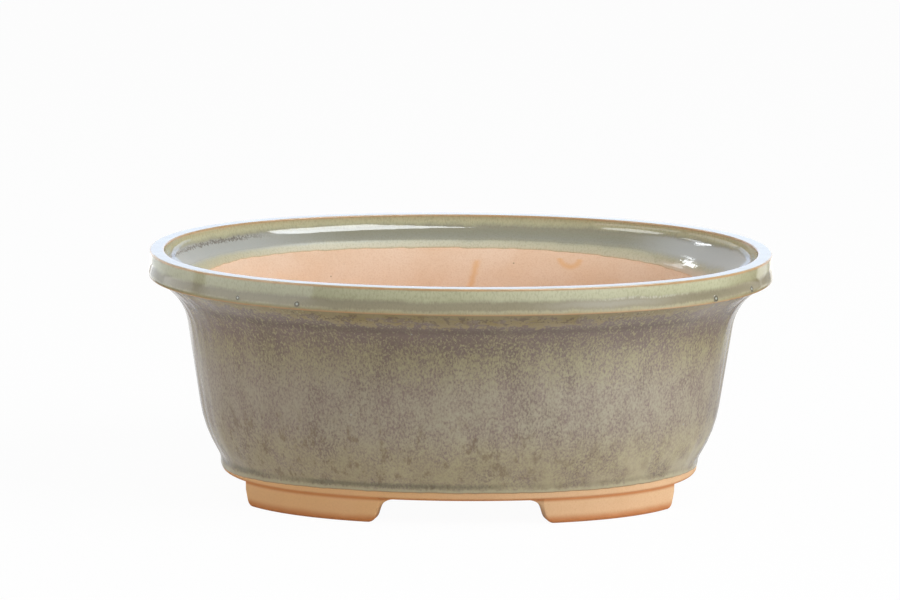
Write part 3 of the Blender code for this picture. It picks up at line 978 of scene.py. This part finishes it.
# %% Four feet
def make_foot(name, side, end):
    """One foot, in the quarter that the two signs name."""
    bm = bmesh.new()
    sections = []
    for walked, bottom in foot_edge:
        turn = float(np.interp(walked, fine_walk, fine_turns))
        points = [oval_point(turn, inset) + (z,) for inset, z in foot_section(bottom)]
        sections.append([bm.verts.new((side * x, end * y, z)) for x, y, z in points])
    for section, following in zip(sections, sections[1:]):
        bridge(bm, section, following)
    bm.faces.new(sections[0])
    bm.faces.new(sections[-1])
    foot = piece_from(bm, name)
    foot.data.shade_smooth()
    foot.data.set_sharp_from_angle(angle=math.radians(50))
    foot.data.materials.append(BARE_CLAY)
    return faced_outwards(foot)


feet = {}
for end_name, end in (("front", -1), ("back", 1)):
    for side_name, side in (("left", -1), ("right", 1)):
        feet[f"foot_{end_name}_{side_name}"] = make_foot(f"clay_foot_{end_name}_{side_name}", side, end)

# %% [markdown]
# Gas that bubbles out of a glaze in the kiln leaves pinholes: small healed craters with a raised ring.
# One crater is drawn flat, from a profile that rises from its middle to the ring and ends under the glaze.
# Bump in a material could fake it, but real faces catch the light and are there in the mesh too.

# %% One pinhole
# Radius and height in mm, from the middle outwards
CRATER_PROFILE = [(0.25, 0.03), (0.45, 0.08), (0.70, 0.13), (0.95, 0.07), (1.20, -0.05), (1.20, -0.35)]
CRATER_SIDES = 20


def make_crater():
    """One pinhole facing up, with the attribute "reach": 0 in its middle, 1 at its edge."""
    bm = bmesh.new()
    reach = bm.verts.layers.float.new("reach")
    rings = []
    for r, h in CRATER_PROFILE:
        rings.append(ring_of(bm, [(r * MM * u, r * MM * v, h * MM) for u, v in circle(CRATER_SIDES)]))
        for vert in rings[-1]:
            vert[reach] = r / CRATER_PROFILE[-1][0]
    for ring, following in zip(rings, rings[1:]):
        bridge(bm, ring, following)
    bm.faces.new(rings[0])
    bm.faces.new(rings[-1])
    return piece_from(bm, "crater")


print("a pinhole's ring is", 2 * max(CRATER_PROFILE, key=lambda step: step[1])[0], "mm across")

# %% [markdown]
# A second node tree sets a copy of the crater at each spot and turns it to face straight out of the bead.
# This is what Instance on Points is for: one shape, many places.

# %% Pinholes on the bead
# Degrees round the pot, height in mm, and size
PIN_SPOTS = [(227.5, 109.1, 1.10), (240.6, 108.9, 1.35), (320.1, 108.4, 1.45), (333.8, 109.0, 1.40),
             (21.0, 108.6, 1.0), (52.0, 109.2, 0.8), (118.0, 108.5, 1.1), (149.0, 109.0, 0.9)]


def copies_tree():
    """The node tree that sets copies of a piece at points, each turned by "aim" and scaled by "size"."""
    tree, given = geometry_tree("copies_at_points", {
        "Geometry": "Geometry", "Copied Piece": "Object", "Finish": "Material"})
    aim = {"Vector": stored(tree, "aim", "FLOAT_VECTOR")}
    turned = Wire(add(tree, "FunctionNodeAlignRotationToVector", aim, axis="Z"))
    inputs = {"Points": given["Geometry"], "Instance": shape_of(given["Copied Piece"]),
              "Rotation": turned, "Scale": stored(tree, "size")}
    end_tree(Wire(add(tree, "GeometryNodeInstanceOnPoints", inputs)), given["Finish"])
    return tree


def on_bead(degrees, height):
    """The place on the rim coat's outer side at an angle and a height, and the way it faces."""
    turn, d = math.radians(degrees), along_at(height, inside=False)
    (x0, z0), (x1, z1) = ([float(np.interp(d + step, rim_along, [p[k] for p in rim_guide])) for k in (0, 1)]
                          for step in (-0.3 * MM, 0.3 * MM))
    length = math.dist((x0, z0), (x1, z1))
    out, up = -(z1 - z0) / length, (x1 - x0) / length
    inset, z = (x0 + x1) / 2 + SKIN * out, (z0 + z1) / 2 + SKIN * up
    place = Vector((*oval_point(turn, inset), z))
    inwards = (Vector(oval_point(turn, inset + 1 * MM)) - place.xy) / (1 * MM)
    return place, Vector((*(inwards * out), up))


placed = [on_bead(degrees, height * MM) for degrees, height, size in PIN_SPOTS]
spots = line_object("pin_spots", [place for place, aim in placed])
aims = spots.data.attributes.new("aim", "FLOAT_VECTOR", "POINT")
aims.data.foreach_set("vector", np.array([aim for place, aim in placed], np.float32).ravel())
sizes = spots.data.attributes.new("size", "FLOAT", "POINT")
sizes.data.foreach_set("value", np.array([size for degrees, height, size in PIN_SPOTS], np.float32))
crater = make_crater()
pinholes = taken_over("pinhole_rings", spots, copies_tree(), {"Copied Piece": crater, "Finish": PINHOLE})
bpy.data.objects.remove(crater)
faced_outwards(pinholes)

# %% [markdown]
# A finish is built up as it looks: a ground colour and layers over it, each a mask and a colour. So the
# list of layers can be read from the bottom one to the top one. Colours are given as they look on
# screen, from 0 to 255, and turned into the linear values that a shader works with.

# %% Colours in layers
def srgb(red, green, blue):
    """A colour given in 0 to 255 as it looks on screen, as the linear values that a shader takes."""
    shares = [v / 255 for v in (red, green, blue)]
    return (*(((v + 0.055) / 1.055) ** 2.4 if v > 0.04045 else v / 12.92 for v in shares), 1.0)


def mixed(share, below, above):
    """A colour between two, by a share. Each is a wire, or red, green and blue from 0 to 255."""
    below, above = (c if isinstance(c, Wire) else srgb(*c) for c in (below, above))
    return Wire(add(share.tree, "ShaderNodeMix", {0: share, 6: below, 7: above}, data_type="RGBA"), 2)


def painted(ground, *layers):
    """A colour with layers over it, each a mask and a colour."""
    for mask, colour in layers:
        ground = mixed(mask, ground, colour)
    return ground


print("mid grey on screen is", round(srgb(128, 128, 128)[0], 3), "for a shader")

# %% [markdown]
# The patterns read Object coordinates. Every piece's object sits at the origin, so one pattern
# runs on from piece to piece without a seam. Height picks the zone, and noise that is stretched up and
# down makes the runs and flecks, because glaze flows downwards in the kiln.

# %% Patterns
def stretched(tree, across, up):
    """Object coordinates scaled, so that a pattern is across wide and up high, in metres."""
    inputs = {"Vector": object_place(tree), "Scale": (1 / across, 1 / across, 1 / up)}
    return Wire(add(tree, "ShaderNodeMapping", inputs))


def noise(tree, across, up=None, detail=2.0, roughness=0.5, shift=0.0):
    """Noise from 0 to 1 with cells about across wide and up high. A shift gives a different noise."""
    moved = {0: stretched(tree, across, up or across), 1: (shift, shift, shift)}
    moved = Wire(add(tree, "ShaderNodeVectorMath", moved, operation="ADD"))
    inputs = {"Vector": moved, "Scale": 1.0, "Detail": detail, "Roughness": roughness}
    return Wire(add(tree, "ShaderNodeTexNoise", inputs), "Fac")


def specks(tree, spacing, largest, smallest, patches, shift):
    """A mask of tiny round spots, one to a cell of the spacing, in patches of a size."""
    inputs = {"Vector": stretched(tree, spacing, spacing), "Scale": 1.0}
    spots = ease(Wire(add(tree, "ShaderNodeTexVoronoi", inputs, feature="F1"), "Distance"), largest, smallest)
    return spots * ease(noise(tree, patches, shift=shift), 0.50, 0.56)


def attribute(tree, name):
    """A value that the mesh carries at its points."""
    return Wire(add(tree, "ShaderNodeAttribute", attribute_name=name), "Fac")


def bump(height, strength, distance, **inputs):
    """A normal tilted by the slopes of a height."""
    inputs.update({"Height": height, "Strength": strength, "Distance": distance})
    return Wire(add(height.tree, "ShaderNodeBump", inputs))


GLAZE_IOR = 1.5
face_on = ((GLAZE_IOR - 1) / (GLAZE_IOR + 1)) ** 2
print("seen face on, glaze mirrors", round(100 * face_on, 1), "percent of the light")

# %% [markdown]
# Bare stoneware is matt and sandy. Fine noise gives the grain for both colour and bump, so that
# light and dark grains are also high and low ones. Low edges that touched the kiln shelf are toasted, and a
# few specks of iron show. Two brown drips of glaze water ran down the inside and were never wiped off.

# %% Bare clay
def drip_stains(tree):
    """A mask for the two drips on the inside of the far wall: a straight one and a loop."""
    x, y, z = parts_of(object_place(tree))
    lean = (z - 0.086) * 0.26 + 0.0066
    beside = x - lean + (noise(tree, 0.002) - 0.5) * 0.0016
    straight = near(beside, 0.0, 0.0030) * ease(z, 0.0985, 0.0965) * ease(z, 0.022, 0.032)
    across, down = (x - 0.0562) / 0.0050, (z - 0.1000) / 0.0042
    reach = (across * across + down * down).maths("SQRT")
    loop = near(reach, 1.0, 0.55) * ease(z, 0.1000, 0.0990)
    return straight.maths("MAXIMUM", loop) * ease(y, 0.0, 0.05)


def finish_bare_clay(tree):
    """Buff stoneware, paler inside, toasted low down."""
    x, _, z = parts_of(object_place(tree))
    clouds = noise(tree, 0.024, detail=3.0)
    grain = noise(tree, 0.0008, detail=3.0, roughness=0.75)
    # Painted light: the outer clay is painted lighter and cooler towards the right, where the main light
    # falls.
    outside = mixed(ease(x, -0.06, 0.08), (225, 176, 122), (230, 190, 148))
    low_edge = ease(clouds * 0.0030 + z, 0.0066, 0.0028)
    seam = near(z, 0.0118, 0.0016)
    colour = painted(
        outside,
        (ease(z, 0.016, 0.030), (237, 207, 180)),                              # paler inside
        (ease(clouds, 0.38, 0.72) * 0.30, (222, 176, 132)),
        (ease(grain, 0.42, 0.70) * 0.30, (206, 156, 110)),
        (drip_stains(tree) * 0.60, (230, 174, 112)),
        (low_edge.maths("MAXIMUM", seam) * 0.80, (190, 112, 54)),              # toasted
        (specks(tree, 0.009, 0.06, 0.035, 0.03, 5.0) * 0.7, (120, 84, 56)))
    fill(tree.nodes["Principled BSDF"], {"Base Color": colour, "Normal": bump(grain, 0.5, 0.00018),
                                         "Roughness": 0.82, "Specular IOR Level": 0.25})


finish_bare_clay(BARE_CLAY.node_tree)
print("nodes in the clay finish:", len(BARE_CLAY.node_tree.nodes))

# %% [markdown]
# The wall's glaze breaks in layers. High up the ground is plain purple-brown, then olive flecks come in,
# finer than a millimetre across and pulled out downwards. Low down they melt into an olive wash with brown
# stains. The flecks are the peaks of fine noise, and a level that sinks with the height lets more of them
# through.

# %% Glaze on the wall: ground and flecks
def flecked_ground(tree):
    """The purple-brown ground with its olive flecks, the wash low down and the stains on it."""
    x, _, height = parts_of(object_place(tree))
    clouds = ease(noise(tree, 0.018, 0.034, shift=1.0), 0.42, 0.68)
    ground = mixed(ease(height, 0.092, 0.055), (128, 108, 97), (139, 120, 108))
    fine = noise(tree, 0.0009, 0.0015, detail=3.0, roughness=0.62)
    broad = noise(tree, 0.009, 0.014, detail=3.0, roughness=0.6, shift=3.0)
    level = ease(height, 0.100, 0.076) * -0.21 + 0.68 + (broad - 0.5) * -0.48
    flecks = ease(fine - level, -0.20, 0.20) * (ease(x, -0.09, 0.0) * 0.22 + 0.74)
    green = mixed(ease(height, 0.088, 0.062), (164, 154, 112), (171, 161, 136))
    green = mixed(ease(height, 0.050, 0.028), green, (178, 166, 129))
    first = ease(noise(tree, 0.0010, 0.0017, shift=15.0), 0.575, 0.65) * ease(height, 0.060, 0.078)

    # Painted light: this mask makes the olive wash lighter and stronger, and the brown stains fainter,
    # towards the right, where the main light falls.
    painted_light_rightwards = ease(x, 0.0, 0.09)
    wash = ease(height, 0.046, 0.024) * ease(noise(tree, 0.012, 0.018, detail=3.0, shift=7.0), 0.36, 0.62)
    stains = ease(noise(tree, 0.0050, 0.0095, detail=4.0, roughness=0.65, shift=8.0), 0.52, 0.66)
    stains = stains * ease(height, 0.060, 0.040)
    return painted(
        ground,
        (clouds * 0.40, (116, 98, 82)),
        (flecks, green),
        (first * 0.62, (172, 163, 122)),
        # The wash and the stains are the glaze's own; their lightening towards the right is painted light.
        (wash * (painted_light_rightwards * 0.30 + 0.45), mixed(painted_light_rightwards, (166, 153, 116), (190, 178, 144))),
        (stains * (painted_light_rightwards * -0.38 + 0.58), (122, 101, 76)))


wall_ground = flecked_ground(WALL_GLAZE.node_tree)
print("nodes in the ground:", len(WALL_GLAZE.node_tree.nodes))

# %% [markdown]
# Under the rim hangs an olive roll, where the glaze ran down and stopped. Its border is torn and dripping.
# Two noises, one fine and one with larger lumps, are added to the height before the border is cut, so the
# border follows them up and down.

# %% Glaze on the wall: the roll under the rim
def hanging_roll(tree):
    """The mask and the colour of the olive roll under the rim, with its torn border."""
    x, _, height = parts_of(object_place(tree))
    torn = noise(tree, 0.0014, 0.0030, detail=3.0, roughness=0.6, shift=2.0)
    lumps = noise(tree, 0.0042, 0.0060, shift=6.0)
    border = height + (torn - 0.5) * 0.0060 + (lumps - 0.5) * 0.0090 + ease(abs(x), 0.04, 0.11) * -0.0034
    dark = ease(torn * 0.5 + lumps * 0.5, 0.50, 0.42) * ease(height, 0.1060, 0.1035)
    # Darker olive towards the band above: partly the roll's own colour, partly painted shade under the band.
    colour = mixed(ease(border, 0.0990, 0.1040), (156, 138, 98), (142, 124, 80))
    bare = ease(noise(tree, 0.0075, 0.0030, detail=3.0, roughness=0.6, shift=12.0), 0.50, 0.60)
    bare = bare * ease(height, 0.1050, 0.1020) * 0.75
    mask = (ease(border, 0.0980, 0.1000) - bare).maths("MAXIMUM", 0.0)
    return mask, mixed(dark * 0.75, colour, (100, 80, 56))


wall_roll = hanging_roll(WALL_GLAZE.node_tree)
print("nodes with the roll:", len(WALL_GLAZE.node_tree.nodes))

# %% [markdown]
# At the very edge the glaze has pooled: a dark green line, then a pale strip. These follow the wandering
# edge, so they read the attribute "along", which the mesh carries, and not the height. The roll comes over
# them all, with a few runs of its own, and a long, soft wave in the surface makes reflections swim.

# %% Glaze on the wall: all its layers
def finish_wall_glaze(tree):
    """Purple-brown ground with olive flecks that thicken towards the foot."""
    x, _, height = parts_of(object_place(tree))
    from_edge = attribute(tree, "along") - edge_at
    ragged = (noise(tree, 0.0016) - 0.5) * 0.0022 + from_edge
    pooled = ease(noise(tree, 0.045, shift=2.0), 0.36, 0.56) * (ease(x, -0.05, 0.06) * -0.55 + 1.0)
    runs = ease(noise(tree, 0.0015, 0.0095, detail=3.0, shift=11.0), 0.56, 0.66)
    runs = runs * ease(height, 0.088, 0.097) * ease(abs(x), 0.050, 0.080)
    colour = painted(
        wall_ground,
        (near(ragged, 0.0040, 0.0026) * pooled * 0.62, (102, 97, 76)),         # the dark green line
        (ease(ragged, 0.0030, 0.0014) * 0.75, (182, 173, 140)),                # the pale strip
        (ease(from_edge, 0.0009, 0.0003), (172, 134, 92)),                     # thin at the very edge
        (near(height, 0.0962, 0.0030) * 0.45, (94, 76, 64)),                   # shade in the neck
        wall_roll,
        (runs * 0.75, (168, 158, 112)),
        # Painted sheen: a pale veil high on the right end, just under the rim.
        (near(x, 0.118, 0.030) * ease(height, 0.090, 0.099) * 0.22, (200, 188, 176)),
        (specks(tree, 0.012, 0.055, 0.025, 0.02, 9.0) * 0.6, (172, 174, 162)))
    waves = bump(noise(tree, 0.014, 0.085, detail=1.0, shift=4.0), 0.5, 0.0032)
    fill(tree.nodes["Principled BSDF"], {"Base Color": colour, "Normal": waves,
                                         "Roughness": 0.10, "IOR": GLAZE_IOR})


finish_wall_glaze(WALL_GLAZE.node_tree)
print("nodes in the wall glaze:", len(WALL_GLAZE.node_tree.nodes))

# %% [markdown]
# The rim's glaze is paler, and its colour follows how thick it lies. A colour ramp on the distance
# along the profile gives the bands, and noise pushes the borders about, so that no band runs straight.

# %% Glaze on the rim: bands of colour
RAMP_LENGTH = 50              # mm along the profile that the colour ramp spans
lip, top, inner, end = (v / MM for v in (lip_at, outer_corner_at, inner_corner_at, end_at))
# From the sharp lip, over the top, to the edge inside: mm along the profile, and the colour there
rim_bands = [(0.0, (150, 132, 92)), (lip + 0.5, (182, 170, 130)), (lip + 1.3, (180, 172, 138)),
             (lip + 2.3, (150, 141, 114)), (lip + 5.2, (148, 140, 113)), (lip + 7.2, (188, 186, 150)),
             (top - 1.0, (196, 194, 158)), (top + 1.0, (166, 158, 120)), (inner - 0.8, (166, 158, 120)),
             (inner, (200, 190, 156)), (inner + 1.5, (192, 188, 150)), (inner + 3.5, (186, 185, 148)),
             (inner + 6.0, (146, 144, 122)), (inner + 9.0, (139, 138, 117)), (inner + 12.5, (144, 144, 128)),
             (inner + 14.8, (154, 153, 134)), (inner + 16.5, (180, 177, 148)), (end, (196, 188, 156))]


def banded(pushed):
    """The colour of each band, from a distance along the profile that is pushed about a little."""
    ramp = add(pushed.tree, "ShaderNodeValToRGB", {0: pushed / (RAMP_LENGTH * MM)})
    stops = ramp.color_ramp.elements
    for position, colour in rim_bands[2:]:
        stops.new(position / RAMP_LENGTH)
    for stop, (position, colour) in zip(sorted(stops, key=lambda e: e.position), rim_bands):
        stop.position = position / RAMP_LENGTH
        stop.color = srgb(*colour)
    return Wire(ramp)


print("colour bands in mm:", [round(position, 1) for position, colour in rim_bands])

# %% [markdown]
# Over the bands lie the accidents of the kiln: dark drips at the left end, and tan wherever the coat is thin.
# Painted light lies over them too: a pale grey painted reflection on the ledge towards the two ends, painted
# shade on the band's outer side towards the left and on the bead at the right end, and a painted sheen and a
# broken line of painted glint on the bead towards the right. The bead is a little less glossy than the rest,
# and near its inner end the coat has crawled and is nearly matt.

# %% Glaze on the rim: colour and gloss
def finish_rim_glaze(tree):
    """Pale olive green with a darker band outside, grey-green on the ledge, and tan where it is thin."""
    along, thin = attribute(tree, "along"), attribute(tree, "thin")
    x = parts_of(object_place(tree))[0]
    torn = noise(tree, 0.0011, 0.0028, detail=3.0, roughness=0.65)
    slow = noise(tree, 0.012, 0.040, shift=1.0)
    pushed = along + (torn - 0.5) * 0.0020 + (slow - 0.5) * 0.0024
    past_corner = pushed - inner_corner_at
    before_end = along - end_at

    grain = noise(tree, 0.0008, 0.0016, roughness=0.6, shift=3.0)
    # Painted reflection: pale grey on the ledge towards both ends.
    ends = ease(x, -0.050, -0.110) * 0.50 + ease(x, 0.080, 0.118) * 0.76
    ledge_reflection = ease(past_corner, 0.0050, 0.0072) * ease(past_corner, 0.0180, 0.0140) * ends
    outside = ease(along, outer_corner_at, outer_corner_at - 0.0010)
    bead = near(pushed, lip_at + 0.0040, 0.0036)
    # Painted highlight: a broken pale line between the hollow and the bead, right of the front.
    painted_glint = near(pushed, lip_at + 0.0062, 0.0010) * near(x, 0.080, 0.036) * ease(torn, 0.36, 0.62)
    drips = near(along + (torn - 0.5) * 0.0075, inner_corner_at + 0.0074, 0.0014) * ease(x, -0.088, -0.116)
    last = ease(before_end, -0.0040, -0.0012) * ease(x, 0.096, 0.110)
    tan = mixed(noise(tree, 0.006, detail=1.0), (198, 136, 76), (184, 150, 108))
    tan = mixed(ease(before_end, -0.0040, -0.0020), tan, (232, 192, 148))
    colour = painted(
        banded(pushed),
        (ease(grain, 0.44, 0.70) * 0.26, (122, 112, 84)),
        # painted reflection on the ledge
        (ledge_reflection, (192, 196, 196)),
        # painted shade on the band's outer side towards the left end
        (ease(x, -0.02, -0.08) * outside * 0.26, (104, 96, 70)),
        (ease(x, 0.118, 0.136) * outside * 0.38, (150, 136, 98)),
        # painted sheen on the bead, right of the front
        (bead * near(x, 0.066, 0.046) * 0.5, (194, 188, 174)),
        # painted shade on the bead at the right end
        (bead * ease(x, 0.086, 0.116) * 0.36, (112, 102, 74)),
        # painted glint on the bead
        (painted_glint * 0.5, (228, 224, 208)),
        (drips * 0.75, (84, 70, 50)),
        (last * 0.6, (226, 206, 188)),
        (thin * 0.85, tan))

    waves = bump(noise(tree, 0.011, detail=1.0, shift=4.0), 0.30, 0.0006)
    crawled = near(before_end, -0.0040, 0.0060) * ease(x, 0.092, 0.104)
    ripples = bump(noise(tree, 0.0015, shift=14.0), crawled, 0.00007, Normal=waves)
    matt_end = ease(before_end, -0.0080, -0.0030) * ease(x, 0.108, 0.086)
    on_bead = near(along, lip_at + 0.0028, 0.0040) * ease(abs(x), 0.140, 0.115)
    rough = on_bead * 0.20 + 0.07 + matt_end * 0.45 + thin * 0.12
    fill(tree.nodes["Principled BSDF"], {"Base Color": colour, "Normal": ripples,
                                         "Roughness": rough, "IOR": GLAZE_IOR})


finish_rim_glaze(RIM_GLAZE.node_tree)
print("nodes in the rim glaze:", len(RIM_GLAZE.node_tree.nodes))

# %% [markdown]
# A pinhole is a dark ring with a pale, healed middle. The ring follows the crater's own attribute, so it
# stays round on the curved bead, whatever way the copy is turned.

# %% Pinholes: colour
def finish_pinholes(tree):
    """A dark ring round a pale middle."""
    reach = attribute(tree, "reach")
    colour = mixed(near(reach, 0.60, 0.40), (156, 148, 122), (84, 78, 62))
    colour = mixed(ease(reach, 0.34, 0.18), colour, (176, 184, 174))
    fill(tree.nodes["Principled BSDF"], {"Base Color": colour, "Roughness": 0.15, "IOR": GLAZE_IOR})


finish_pinholes(PINHOLE.node_tree)
print("nodes in the pinhole finish:", len(PINHOLE.node_tree.nodes))

# %% [markdown]
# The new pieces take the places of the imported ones. Nothing on a pot moves, so all of them ride on
# the one body.

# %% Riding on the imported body
stands_for = {"side_wall": clay_wall, "rim_band": clay_rim, "floor_slab": clay_base,
              "wall_glaze": wall_coat, "rim_glaze": rim_coat, **feet}
for node, piece in stands_for.items():
    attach(piece, "root")
    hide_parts(node)
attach(pinholes, "root")
print(len(stands_for) + 1, "pieces ride on the pot")
